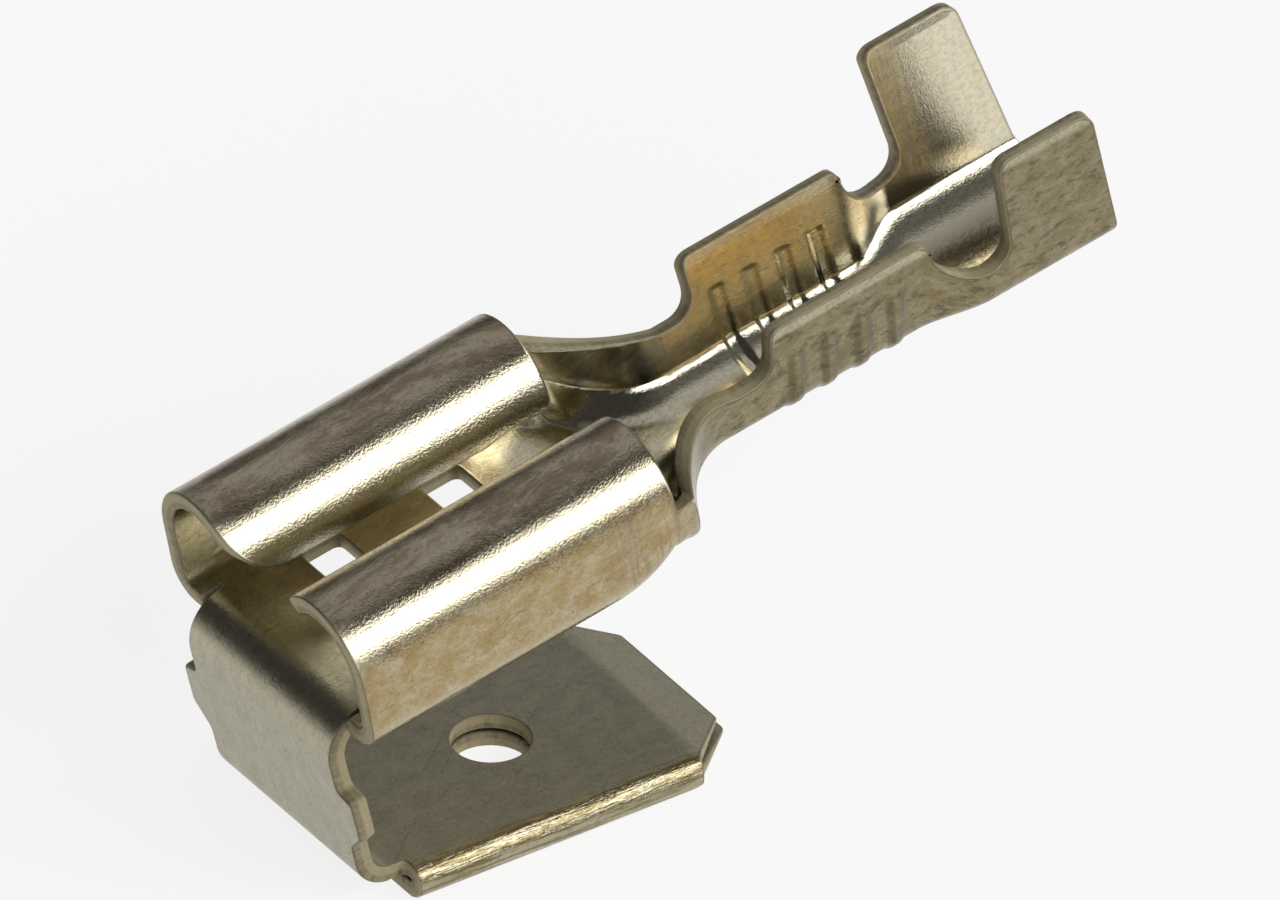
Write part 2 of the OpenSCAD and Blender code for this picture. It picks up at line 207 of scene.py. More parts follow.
HEM_END_S = HEM_Y + math.pi * HEM_MID_R
SEAM_S = HEM_END_S + HEM_Y - SEAM_GAP / 2

# Mesh: rounding of the cut edges
EDGE_IN = 0.07
EDGE_OUTER = 0.05
EDGE_INNER = 0.08
EDGE_STEPS = 4
HEM_EDGE_SHARE = 0.2

# Mesh: points of the outline
RIM_STEP = 0.08
CORNER_POINTS = 9
CURVE_POINTS = 40
LIP_POINTS = 24
HOLE_STEPS = 90
SEAM_HOLE_STEPS = 28
# Half of a corner's angle above which the corner counts as straight
STRAIGHT_HALF = 1.56

# Mesh: steps between the points inside the blank, along it, and across it where the name ends in S
TAB_STEP = 0.2
TAB_STEP_S = 0.25
BEVEL_STEP = 0.05
BEVEL_BAND = (0.6, 1.7)
HEM_STEP_S = 0.04
STRIP_STEP = 0.07
STRIP_STEP_S = 0.2
FLANGE_STEP = 0.12
TROUGH_STEP = 0.16
FLARE_STEP = 0.12
NECK_STEP = 0.09
WIRE_STEP = 0.045
BLEND_STEP = 0.1
GRIP_STEP = 0.15
RAISED_STEP_S = 0.09
COIN_SEAM = 0.02
CLEAR_OF_RIM = 0.05
SAME_POINT = 1e-9

# Mesh: step for slopes, and the least length of a vector that is made a unit one
NUDGE = 0.003
TINY = 1e-12


def mix(a, b, t):
    return a + (b - a) * t


def ease(t):
    t = np.clip(t, 0, 1)
    return t * t * (3 - 2 * t)


def ease_out(t, power):
    return 1 - (1 - np.clip(t, 0, 1)) ** power


# Sections across the strip


def swell(t, at):
    """Rises from 0 at the rolls to about 1 at the share given, and dies out towards the wire barrel."""
    return t / at * np.exp(1 - t / at) * (1 - t)


def wall_foot(r, knee, bend):
    """Outside reach and height, from the edge of the flat, at which a channel's straight wall begins."""
    reach = r * math.sin(KNEE_AT) + knee * (np.sin(bend) - math.sin(KNEE_AT))
    height = r * (1 - math.cos(KNEE_AT)) + knee * (math.cos(KNEE_AT) - np.cos(bend))
    return reach, height


def reach_at(r, knee, bend, height):
    reach, foot = wall_foot(r, knee, bend)
    return reach + (height - foot) / np.tan(bend)


def neck_wall(t):
    climb = mix(NECK_LOW, NECK_HIGH, ease_out(t, CLIMB_POWER))
    return mix(climb, NECK_FOOT, t ** FOOT_POWER)


def neck_drawn(t):
    lag = NECK_LAG / NECK_LEN
    return ease_out(np.maximum(0, t - lag) / (1 - lag), DRAW_POWER)


def neck_half(t):
    """Half width of the neck at its walls' upper edge."""
    return mix(HALF_W, BARREL_FLAT + reach_at(WIRE_R, KNEE_R, WIRE_BEND, NECK_FOOT), neck_drawn(t))


def neck_channel(t):
    """The channel along the neck, t from 0 at the rolls to 1 at the wire barrel."""
    height = neck_wall(t)
    bend = mix(math.pi / 2, WIRE_BEND, neck_drawn(t)) + NECK_TUCK * swell(t, TUCK_AT)
    r = mix(REAR_CORNER_R, WIRE_R, t) + NECK_BELLY * swell(t, BELLY_AT)
    room = (height - NECK_EDGE - r * (1 - math.cos(KNEE_AT))) / (math.cos(KNEE_AT) - np.cos(bend))
    knee = np.minimum(room, mix(REAR_CORNER_R, KNEE_R, ease_out(t, KNEE_POWER)))
    return neck_half(t) - reach_at(r, knee, bend, height), r, knee, bend


def neck_slant(t):
    """What the slant of the neck's walls adds to their thickness across it."""
    slope = (neck_half(np.maximum(0, t - SLANT_STEP)) - neck_half(np.minimum(1, t + SLANT_STEP)))
    slope = slope / (2 * SLANT_STEP * NECK_LEN)
    return SLANT_SHARE * SHEET_T * (np.sqrt(1 + slope ** 2) - 1)


def channel(u):
    """Half width of the flat, floor's outside radius, knees' outside radius and bend at station u."""
    u = np.asarray(u, float)
    flare_r = mix(CORNER_R, REAR_CORNER_R, np.clip((u - FLARE_FRONT) / FLARE_LEN, 0, 1) ** 2)
    trough = HALF_W - flare_r, flare_r, flare_r, np.full_like(u, math.pi / 2)
    in_neck = u > ROLL_REAR
    neck = neck_channel(np.clip((u - ROLL_REAR) / NECK_LEN, 0, 1))
    blend = ease((u - BLEND_FRONT) / (BLEND_REAR - BLEND_FRONT))
    grip = (BARREL_FLAT, GRIP_R, KNEE_R, GRIP_BEND)
    return [mix(np.where(in_neck, n, c), g, blend) for n, c, g in zip(neck, trough, grip)]


def bend_ends(u):
    """Distances across at which the floor's curve, the knee and the straight wall begin."""
    flat, r, knee, bend = channel(u)
    knee_s = flat + (r - HALF_T) * KNEE_AT
    return flat, knee_s, knee_s + (knee - HALF_T) * (bend - KNEE_AT)


def wing_top(u):
    """Distance across of the wings' tops, whose faces are coined."""
    return height_to_s(u, np.where(np.asarray(u) < NOTCH_MID, WIRE_H, GRIP_H))


def coined(u, s, d):
    """The depth d, brought towards the middle of the sheet along the wings' tops."""
    share = np.clip((np.abs(s) - wing_top(u)) / COIN_LEN + 1, 0, 1) * (u > NECK_REAR)
    deep = np.where(d < HALF_T, COIN_DEPTH, COIN_DEPTH * COIN_INSIDE)
    return HALF_T + (d - HALF_T) * (1 - share * deep / HALF_T)


def section(u, s, d):
    """(y, height) of the raised part's section at station u, distance s across and depth d into the sheet."""
    flat, r, knee, bend = channel(u)
    _, knee_s, wall_s = bend_ends(u)
    d = coined(u, s, d)
    side, s = np.sign(s), np.abs(s)
    on_floor = np.clip((s - flat) / (r - HALF_T), 0, KNEE_AT)
    on_knee = KNEE_AT + np.clip((s - knee_s) / (knee - HALF_T), 0, bend - KNEE_AT)
    y = np.minimum(s, flat) + (r - d) * np.sin(on_floor) + (knee - d) * (np.sin(on_knee) - math.sin(KNEE_AT))
    z = r - (r - d) * np.cos(on_floor) + (knee - d) * (math.cos(KNEE_AT) - np.cos(on_knee))
    slant = neck_slant(np.clip((u - ROLL_REAR) / NECK_LEN, 0, 1))
    y = y - slant * d / SHEET_T * np.minimum(1, s / flat)
    straight = np.maximum(0, s - wall_s)
    in_rolls = u <= ROLL_REAR
    wall = np.where(in_rolls, np.minimum(straight, ROLL_Z - wall_foot(r, knee, bend)[1]), straight)
    y = y + wall * np.cos(bend)
    z = z + wall * np.sin(bend)
    roll = np.where(in_rolls, (straight - wall) / ROLL_MID_R, 0)
    y = y - (ROLL_R - d) * (1 - np.cos(roll))
    z = z + (ROLL_R - d) * np.sin(roll)
    return side * y, z


def height_to_s(u, h):
    """Distance across at which the outside of the section at station u reaches height h."""
    flat, r, knee, bend = channel(u)
    _, knee_s, wall_s = bend_ends(u)
    knee_h = r * (1 - math.cos(KNEE_AT))
    foot = wall_foot(r, knee, bend)[1]
    on_floor = flat + (r - HALF_T) * np.arccos(np.clip(1 - h / r, -1, 1))
    turn = np.arccos(np.clip(math.cos(KNEE_AT) - (h - knee_h) / knee, -1, 1))
    on_knee = knee_s + (knee - HALF_T) * (turn - KNEE_AT)
    return np.where(h < knee_h, on_floor, np.where(h < foot, on_knee, wall_s + (h - foot) / np.sin(bend)))


def roll_s(u, angle):
    """Distance across at a given angle round the roll at station u."""
    _, r, knee, bend = channel(u)
    return bend_ends(u)[2] + ROLL_Z - wall_foot(r, knee, bend)[1] + ROLL_MID_R * angle


# The fold, from the blank to the finished form


def ridges(u, z):
    """How far the crimp ridges press the sheet outwards."""
    u = np.asarray(u, float)
    press = np.zeros_like(u)
    for i in range(RIDGE_COUNT):
        off = np.abs(u - (WIRE_FRONT + RIDGE_FIRST + i * RIDGE_PITCH)) / RIDGE_W
        press = np.maximum(press, ease(RIDGE_CREST - RIDGE_FLANK * off))
    return RIDGE_DEPTH * press * ease((RIDGE_H + RIDGE_END - z) / RIDGE_FADE)


def dome(u, y):
    """How far the detent dome rises from the bridge."""
    sphere_r = (DOME_D ** 2 / 4 + DOME_H ** 2) / (2 * DOME_H)
    off2 = (u - BRIDGE_MID) ** 2 + y ** 2
    cap = np.sqrt(np.maximum(0, sphere_r ** 2 - off2)) - (sphere_r - DOME_H)
    return np.maximum(0, cap)


def raised_point(u, y, h):
    """World point of the raised part at station u, offset y and height h over the floor's underside."""
    h = h + UPPER_R - SHEET_T
    x = UPPER_C[0] + u * math.cos(RISE) - h * math.sin(RISE)
    z = UPPER_C[1] + u * math.sin(RISE) + h * math.cos(RISE)
    return np.stack([x, y, z], -1)


def bend_point(centre, angle, radius, y):
    x = centre[0] + radius * np.cos(angle)
    z = centre[1] + radius * np.sin(angle)
    return np.stack([x, y, z], -1)


def tab_point(p, s, d):
    """World point of the doubled tab, whose sides turn under in round hems."""
    x = HOLE_P - p
    side, s = np.sign(s), np.abs(s)
    share = d / SHEET_T
    turn = np.clip((s - HEM_Y) / HEM_MID_R, 0, math.pi)
    parted = TIP_PART * ease((x - TAB_TIP + TIP_CHAMFER) / TIP_CHAMFER)
    hem_r = mix(SHEET_T, LAYER_GAP / 2 + parted, share)
    under = np.maximum(0, s - HEM_END_S)
    y = np.minimum(s, HEM_Y) + hem_r * np.sin(turn) - under
    z = SHEET_T + hem_r * np.cos(turn)
    past = x - (TAB_TIP - BEVEL_LEN) - BEVEL_SKEW * side * y
    past = (past + np.sqrt(past ** 2 + BEVEL_EASE ** 2)) / 2
    cut = TIP_BEVEL / BEVEL_LEN * past * (1 - share)
    z = z - cut * np.cos(turn)
    return np.stack([x, side * y, z], -1)


def fold(p, s, d):
    """World points of blank points at depth d, which is 0 outside the rolls and hems and SHEET_T inside."""
    p, s, d = np.broadcast_arrays(*(np.asarray(a, float) for a in (p, s, d)))
    y, z = section(p, s, d)
    press = ridges(p, z)
    y, z = section(p, s, d - press)
    z = z + dome(p, s) * (np.abs(s) < DOME_D)
    out = raised_point(p, y, z)
    on_strip = (p < 0) & (np.abs(s) < (STRIP_W + RELIEF) / 2) | (p < UPPER_P)
    upper_angle = np.clip(UPPER_START - p / (UPPER_R - HALF_T), UPPER_START, UPPER_END)
    out = np.where(on_strip[..., None], bend_point(UPPER_C, upper_angle, UPPER_R - SHEET_T + d, s), out)
    along = np.clip(UPPER_P - p, 0, FOLD_LEN)[..., None]
    out = np.where((p < UPPER_P)[..., None], out - along * np.array([UP[0], 0, UP[1]]), out)
    lower_angle = np.clip(UPPER_END + (STRIP_P - p) / (LOWER_R - HALF_T), UPPER_END, LOWER_END)
    out = np.where((p < STRIP_P)[..., None], bend_point(LOWER_C, lower_angle, LOWER_R - SHEET_T + d, s), out)
    return np.where((p < LOWER_P)[..., None], tab_point(p, s, d), out)


# The blank's outline


def arc(centre, r, start, end, steps):
    a = np.linspace(start, end, steps + 1)
    return np.stack([centre[0] + r * np.cos(a), centre[1] + r * np.sin(a)], -1)


def rounded(corners):
    """Polyline through (x, y, radius) corners, each rounded by its radius; its two ends stay."""
    pts = [np.array(c[:2], float) for c in corners]
    line = [pts[0]]
    for a, b, c, (_, _, r) in zip(pts, pts[1:], pts[2:], corners[1:]):
        to_a, to_c = (a - b) / np.linalg.norm(a - b), (c - b) / np.linalg.norm(c - b)
        half = math.acos(np.clip(to_a @ to_c, -1, 1)) / 2
        if r == 0 or half > STRAIGHT_HALF:
            line.append(b)
            continue
        reach = r / math.tan(half)
        centre = b + (to_a + to_c) / np.linalg.norm(to_a + to_c) * r / math.sin(half)
        first, last, turn = b + to_a * reach - centre, b + to_c * reach - centre, math.pi - 2 * half
        for t in np.linspace(0, 1, CORNER_POINTS):
            along = math.sin((1 - t) * turn) * first + math.sin(t * turn) * last
            line.append(centre + along / math.sin(turn))
    return np.array(line + [pts[-1]])


def wing_outline():
    """Side outline of the crimp, in (u, height), from the rear edge's foot to the neck."""
    tan_front, tan_rear = math.tan(GRIP_FRONT_LEAN), math.tan(GRIP_REAR_LEAN)
    lean_base = NOTCH_H + NOTCH_REAR_R
    return densify(rounded([
        (GRIP_REAR - NOTCH_H * tan_rear, NOTCH_H, 0),
        (GRIP_REAR - GRIP_H * tan_rear, GRIP_H, GRIP_REAR_R),
        (GRIP_FRONT - (GRIP_H - lean_base) * tan_front, GRIP_H, GRIP_FRONT_R),
        (GRIP_FRONT, lean_base, 0),
        (GRIP_FRONT, NOTCH_H, NOTCH_REAR_R),
        (WIRE_REAR, NOTCH_H, NOTCH_W - NOTCH_REAR_R),
        (WIRE_REAR, WIRE_H, WIRE_CORNER_R),
        (WIRE_FRONT, WIRE_H, WIRE_CORNER_R),
        (WIRE_FRONT, NECK_FOOT, WIRE_FOOT_R),
        (NECK_REAR, NECK_FOOT, 0),
    ]))


def densify(line):
    """The polyline with points at most RIM_STEP apart."""
    out = [line[:1]]
    for a, b in zip(line, line[1:]):
        n = max(1, math.ceil(np.linalg.norm(b - a) / RIM_STEP))
        out.append(a + (b - a) * (np.arange(1, n + 1) / n)[:, None])
    return np.concatenate(out)


def crimp_rim():
    """From the middle of the rear edge round the wings to the rear end of the rolls."""
    rear_s = np.linspace(0, height_to_s(GRIP_REAR, NOTCH_H), CURVE_POINTS)
    rear_h = section(np.full_like(rear_s, GRIP_REAR), rear_s, 0)[1]
    rear = np.stack([GRIP_REAR - rear_h * math.tan(GRIP_REAR_LEAN), rear_s], -1)
    wings = wing_outline()
    wings = np.stack([wings[:, 0], height_to_s(wings[:, 0], wings[:, 1])], -1)
    t = np.linspace(1, 0, CURVE_POINTS)
    neck_u = mix(ROLL_REAR, NECK_REAR, t)
    neck = np.stack([neck_u, height_to_s(neck_u, neck_wall(t))], -1)
    return np.concatenate([rear[:-1], wings[:-1], neck])


def roll_rim():
    """From the rear end of the rolls round the lip to the relief slit."""
    lip = roll_s(0, ROLL_SWEEP)
    rear_lip = roll_s(ROLL_REAR, ROLL_SWEEP)
    rear = rounded([
        (ROLL_REAR, height_to_s(ROLL_REAR, NECK_LOW), 0),
        (ROLL_REAR, rear_lip, LIP_REAR_R),
        (FLARE_FRONT, lip, 0),
        (ROLL_FRONT + LIP_FRONT_R, lip, 0),
    ])
    u = ROLL_FRONT + LIP_FRONT_R * (1 - np.sin(np.linspace(0, math.pi / 2, LIP_POINTS)))
    drop = np.sqrt(np.maximum(0, LIP_FRONT_R ** 2 - (u - ROLL_FRONT - LIP_FRONT_R) ** 2))
    lip_z = LIP_Z + LIP_FRONT_R - drop
    angle = math.pi - np.arcsin(np.clip((lip_z - ROLL_Z) / ROLL_R, -1, 1))
    front = np.stack([u, roll_s(0, angle)], -1)
    slit_s = STRIP_W / 2 + RELIEF
    slit = np.array([[ROLL_FRONT, slit_s], [0, slit_s]])
    return np.concatenate([rear[:-1], front, slit])


def strip_rim():
    """From the relief slit down the front strip and its shoulder to the hem."""
    foot = SHEET_T + LOWER_R
    edge, out = STRIP_W / 2, SHOULDER_W / 2

    def at(height):
        return STRIP_P + height - foot

    return rounded([
        (0, edge, 0),
        (at(SHOULDER_TOP), edge, SHOULDER_R),
        (at(SHOULDER_TOP - SHOULDER_DROP), out, SHOULDER_R),
        (at(SHOULDER_BASE), out, SHOULDER_LOW_R),
        (at(SHOULDER_BASE - SHOULDER_SLOPE), edge, SHOULDER_FOOT_R),
        (HEM_P, edge, HEM_NOTCH_R),
        (HEM_P, HEM_Y, 0),
    ])


def hem_rim():
    """Along the hem's end, the seam with its half of the hole and the chamfer, to the middle of the tip."""
    chamfer_p = TIP_P + TIP_CHAMFER
    apex_s = HEM_Y + math.pi / 2 * HEM_MID_R
    seam_y = SEAM_GAP / 2
    tip_y = TIP_W / 2
    lower_p = TIP_P - TIP_STEP

    def under(y):
        return HEM_END_S + HEM_Y - y

    half_gap = math.asin(seam_y / HOLE_R)
    hole = arc((HOLE_P, under(0)), HOLE_R, -half_gap, -math.pi + half_gap, SEAM_HOLE_STEPS)
    ends = rounded([(HEM_P, HEM_Y, 0), (HEM_P, SEAM_S, HEM_CORNER_R), (HOLE_P + HOLE_R, SEAM_S, 0)])
    tip = rounded([
        (HOLE_P - HOLE_R, SEAM_S, 0),
        (lower_p, SEAM_S, SEAM_TIP_R),
        (lower_p, under(tip_y + TIP_STEP), TIP_CORNER_R),
        (chamfer_p, apex_s, CHAMFER_R),
        (TIP_P, tip_y, TIP_CORNER_R),
        (TIP_P, 0, 0),
    ])
    return np.concatenate([ends[:-1], hole, tip[1:]])


def closed_loop(half):
    """The half outline and its mirror image as one loop with even spacing."""
    loop = np.concatenate([half, half[-2:0:-1] * [1, -1]])
    return even(loop)


def even(loop):
    """The loop with its points RIM_STEP apart, as nearly as its length allows."""
    ring = np.concatenate([loop, loop[:1]])
    run = np.concatenate([[0], np.cumsum(np.linalg.norm(np.diff(ring, axis=0), axis=1))])
    n = round(run[-1] / RIM_STEP)
    at = np.linspace(0, run[-1], n, endpoint=False)
    return np.stack([np.interp(at, run, ring[:, k]) for k in (0, 1)], -1)


def area(loop):
    x, y = loop.T
    return (x * np.roll(y, -1) - y * np.roll(x, -1)).sum() / 2


def blank_loops():
    """Outer loop, counter-clockwise, and the loops of the slots and the hole, clockwise."""
    half = np.concatenate([crimp_rim()[:-1], roll_rim(), strip_rim()[:-1], hem_rim()])
    loops = [closed_loop(half)]
    for end in (-1, 1):
        u = BRIDGE_MID + end * SLOT_PITCH / 2
        a, b, c, r = u - SLOT_LEN / 2, u + SLOT_LEN / 2, SLOT_W / 2, SLOT_CORNER_R
        slot = rounded([(u, -c, 0), (b, -c, r), (b, c, r), (a, c, r), (a, -c, r), (u, -c, 0)])
        loops.append(even(slot[:-1]))
    loops.append(even(arc((HOLE_P, 0), HOLE_R, 0, 2 * math.pi, HOLE_STEPS)[:-1]))
    signs = [1] + [-1] * (len(loops) - 1)
    return [loop if area(loop) * sign > 0 else loop[::-1] for loop, sign in zip(loops, signs)]


# The mesh


def outward(loop):
    """Unit normals of the loop's corners in the blank, pointing out of the sheet."""
    ahead = np.roll(loop, -1, 0) - loop
    ahead /= np.linalg.norm(ahead, axis=1)[:, None]
    tangent = ahead + np.roll(ahead, 1, 0)
    tangent /= np.linalg.norm(tangent, axis=1)[:, None]
    return np.stack([tangent[:, 1], -tangent[:, 0]], -1)


def in_sheet(points, loops):
    """Which points lie in the sheet, by crossings of a line in +s."""
    odd = np.zeros(len(points), bool)
    px, py = points.T
    for loop in loops:
        for (ax, ay), (bx, by) in zip(loop, np.roll(loop, -1, 0)):
            span = (ax > px) != (bx > px)
            if span.any():
                k = np.nonzero(span)[0]
                odd[k] ^= py[k] < ay + (px[k] - ax) / (bx - ax) * (by - ay)
    return odd


def clear_of(points, rim):
    """Which points keep their distance from the rim's points."""
    keep = np.ones(len(points), bool)
    rim = rim[np.argsort(rim[:, 0])]
    first = np.searchsorted(rim[:, 0], points[:, 0] - CLEAR_OF_RIM)
    last = np.searchsorted(rim[:, 0], points[:, 0] + CLEAR_OF_RIM)
    for i, (a, b) in enumerate(zip(first, last)):
        if a < b:
            keep[i] = ((rim[a:b] - points[i]) ** 2).sum(1).min() > CLEAR_OF_RIM ** 2
    return keep


def spaced(*stops):
    """Points along stretches given as place, step, place, step and so on, without the last place."""
    stretches = zip(stops[::2], stops[1::2], stops[2::2])
    parts = [np.linspace(a, b, math.ceil((b - a) / step), endpoint=False) for a, step, b in stretches]
    return np.concatenate(parts)


def grid_points():
    """Points inside the blank, closer together where the sheet bends."""
    bevel_tip, bevel_rear = TIP_P + BEVEL_BAND[0], TIP_P + BEVEL_BAND[1]
    tab_p = spaced(TIP_P, TAB_STEP, bevel_tip, BEVEL_STEP, bevel_rear, TAB_STEP, LOWER_P)
    tab_s = spaced(0, TAB_STEP_S, HEM_Y, HEM_STEP_S, HEM_END_S, TAB_STEP_S, SEAM_S)
    strip_p, strip_s = spaced(LOWER_P, STRIP_STEP, 0), spaced(0, STRIP_STEP_S, SHOULDER_W / 2)
    raised_p = spaced(0, TROUGH_STEP, FLARE_FRONT, FLARE_STEP, ROLL_REAR, NECK_STEP, NECK_REAR, WIRE_STEP,
                      BLEND_FRONT, BLEND_STEP, BLEND_REAR, GRIP_STEP, GRIP_REAR)
    raised_s = spaced(0, RAISED_STEP_S, roll_s(0, ROLL_SWEEP))
    flange_p, flange_s = spaced(ROLL_FRONT, FLANGE_STEP, 0), raised_s[raised_s > STRIP_W / 2 + RELIEF]
    patches = [(tab_p, tab_s), (strip_p, strip_s), (raised_p, raised_s), (flange_p, flange_s)]
    grid = [np.stack(np.meshgrid(a, b, indexing="ij"), -1).reshape(-1, 2) for a, b in patches]
    wing_p = raised_p[raised_p > WIRE_FRONT]
    for off in (-COIN_SEAM, COIN_SEAM):
        grid.append(np.stack([wing_p, wing_top(wing_p) - COIN_LEN + off], -1))
    grid = np.concatenate(grid)
    mirrored = grid[grid[:, 1] > 0] * [1, -1]
    return np.concatenate([grid, mirrored])


def mesh_blank(rims):
    """Points of the flat blank within the rims, the rims' own first, and its triangles, counter-clockwise."""
    rim = np.concatenate(rims)
    grid = grid_points()
    grid = grid[in_sheet(grid, rims)]
    grid = grid[clear_of(grid, rim)]
    edges, base = [], 0
    for loop in rims:
        n = len(loop)
        edges += [(base + i, base + (i + 1) % n) for i in range(n)]
        base += n
    flat = np.concatenate([rim, grid])
    _, _, tris, origins, _, _ = delaunay_2d_cdt([Vector(q) for q in flat], edges, [], 0, SAME_POINT)
    index = np.array([o[0] if o else -1 for o in origins])
    tris = index[np.array(tris)]
    tris = tris[(tris >= 0).all(1)]
    tris = tris[in_sheet(flat[tris].mean(1), rims)]
    a, b, c = flat[tris].transpose(1, 0, 2)
    counter_clockwise = np.cross(b - a, c - a) > 0
    return flat, np.where(counter_clockwise[:, None], tris, tris[:, ::-1])


def unit(v):
    return v / np.maximum(np.linalg.norm(v, axis=-1, keepdims=True), TINY)


def face_normals(p, s, d):
    """Normals of the folded surface at depth d, pointing towards greater depth."""
    along = fold(p + NUDGE, s, d) - fold(p - NUDGE, s, d)
    across = fold(p, s + NUDGE, d) - fold(p, s - NUDGE, d)
    return unit(np.cross(along, across))


def edge_profile():
    """Rows of the rounded edge from outside to inside: distance in from the outline, depth, angle turned."""
    quarter = np.linspace(0, math.pi / 2, EDGE_STEPS + 1)[1:]
    inset = EDGE_IN * (1 - np.sin(quarter))
    fall = 1 - np.cos(quarter)
    outer = list(zip(inset, EDGE_OUTER * fall, quarter))
    inner = list(zip(inset, SHEET_T - EDGE_INNER * fall, math.pi - quarter))
    return outer + inner[::-1]


def edge_row(loop, inset, depth, turn):
    """Points, normals, share of cut surface and blank points of one row of the rounded edge round a loop."""
    out = outward(loop)
    p, s = (loop - out * inset).T
    shut = hem_at(np.column_stack([loop, 0 * p])) * (depth > HALF_T)
    d = mix(depth, SHEET_T - (SHEET_T - depth) * HEM_EDGE_SHARE, shut)
    points = fold(p, s, d)
    into = unit(fold(p, s, d + NUDGE) - fold(p, s, d - NUDGE))
    away = unit(fold(p + out[:, 0] * NUDGE, s + out[:, 1] * NUDGE, d) - points)
    normals = unit(math.sin(turn) * away - math.cos(turn) * into)
    return points, normals, np.full(len(loop), math.sin(turn)), np.stack([p, s, d / SHEET_T], -1)


def build_sheet():
    """Triangles, points, normals, share of cut surface and blank points of the folded sheet."""
    loops = blank_loops()
    flat, tris = mesh_blank([loop - outward(loop) * EDGE_IN for loop in loops])
    n = len(flat)
    p, s = flat.T
    zero = 0 * p
    rows = [(fold(p, s, 0), -face_normals(p, s, zero), zero, np.stack([p, s, zero], -1)),
            (fold(p, s, SHEET_T), face_normals(p, s, zero + SHEET_T), zero, np.stack([p, s, zero + 1], -1))]
    faces = [tris[:, ::-1], tris + n]
    base, total = 0, 2 * n
    for loop in loops:
        ring = np.arange(len(loop))
        rings = [base + ring]
        for inset, depth, turn in edge_profile():
            rows.append(edge_row(loop, inset, depth, turn))
            rings.append(total + ring)
            total += len(loop)
        rings.append(base + n + ring)
        for low, high in zip(rings, rings[1:]):
            low_next, high_next = np.roll(low, -1), np.roll(high, -1)
            faces.append(np.stack([low, low_next, high_next], -1))
            faces.append(np.stack([low, high_next, high], -1))
        base += len(loop)
    return np.concatenate(faces), *(np.concatenate(part) for part in zip(*rows))


# Wear and painted shade: strengths as shares, angles round the rolls, and lengths

WING_TARNISH, COIN_TARNISH = 0.88, 0.35
TAB_TARNISH, BEVEL_TARNISH = 0.7, 0.35
STRIP_TARNISH = 0.6
HEM_CLEAN = 0.7
BEVEL_FADE = 0.2
WALL_AMBER, ROLL_AMBER = 0.9, 0.08
AMBER_END = math.radians(14)
STAIN_START, STAIN_END = math.radians(46), math.radians(135)
WIRE_GOLD, GRIP_GOLD, TROUGH_GOLD = 0.8, 0.3, 0.25
STRIP_MATT, TAB_MATT = 0.6, 0.4
TROUGH_MATT, NECK_MATT = 0.35, 0.4
TROUGH_POLISH = 0.25
# Strengths of the painted shade on the ridges' flanks and in the neck's near half
RIDGE_SHADE, NECK_SHADE = 0.7, 0.8
FLANK_REACH, FLANK_RISE = 0.04, 0.4


# Wear and painted shade: where each mark lies on the blank


def fade_in(value, start, over):
    """0 up to the start, then rising to 1 over a length."""
    return ease((value - start) / over)


def fade_out(value, end, over):
    """0 from the end on, falling from 1 over the length before it."""
    return ease((end - value) / over)


def tarnish_at(blank):
    """How olive the plating is: most on the outside of the wings, less on the tab and the strip."""
    p, s, depth = blank.T
    s = np.abs(s)
    wing = fade_in(p, ROLL_REAR, over=1.0) * fade_in(s, channel(p)[0], over=0.8)
    coin = fade_in(s, wing_top(p) - COIN_LEN, over=0.08) * (p > NECK_REAR)
    raised = ease(1 - depth) * wing * mix(WING_TARNISH, COIN_TARNISH, coin)
    bevel = fade_out(p, TIP_P + BEVEL_LEN + BEVEL_FADE / 2, over=BEVEL_FADE)
    tab = mix(TAB_TARNISH, BEVEL_TARNISH, bevel) * (1 - HEM_CLEAN * hem_at(blank))
    strip = STRIP_TARNISH * fade_out(p, 0, over=1.5)
    return np.where(p < HEM_P, tab, np.where(p < 0, strip, raised))


def amber_at(blank):
    """How amber the outside of the receptacle's walls is, fading towards the tops of the rolls."""
    p, s, depth = blank.T
    s = np.abs(s)
    wall = fade_in(s, channel(p)[0] + 0.3, over=0.6)
    roll = fade_in(s, roll_s(p, AMBER_END), over=0.5)
    along = (p > ROLL_FRONT) * fade_out(p, ROLL_REAR + 0.6, over=0.6)
    return ease(1 - depth) * wall * mix(WALL_AMBER, ROLL_AMBER, roll) * along


def stain_at(blank):
    """How stained the tops of the rolls are."""
    p, s, depth = blank.T
    s = np.abs(s)
    top = fade_in(s, roll_s(p, STAIN_START), over=0.25) * fade_out(s, roll_s(p, STAIN_END), over=0.5)
    return ease(1 - depth) * top * (p > ROLL_FRONT) * (p < ROLL_REAR)


def gold_at(blank):
    """How much brass shows inside: most on the wings above their bends, a little in the receptacle."""
    p, s, depth = blank.T
    upper = fade_in(np.abs(s), bend_ends(p)[2] + 0.1, over=0.5)
    wire = WIRE_GOLD * (p > NECK_REAR) * fade_out(p, NOTCH_MID, over=0.5)
    grip = fade_in(p, NOTCH_MID, over=0.5) * mix(1, GRIP_GOLD, fade_in(p, GRIP_FRONT + 0.2, over=0.8))
    trough = TROUGH_GOLD * fade_in(p, 0.4, over=0.8) * fade_out(p, ROLL_REAR + 0.6, over=2.0)
    return ease(depth) * np.clip(upper * (wire + grip) + trough, 0, 1) * (p > 0)


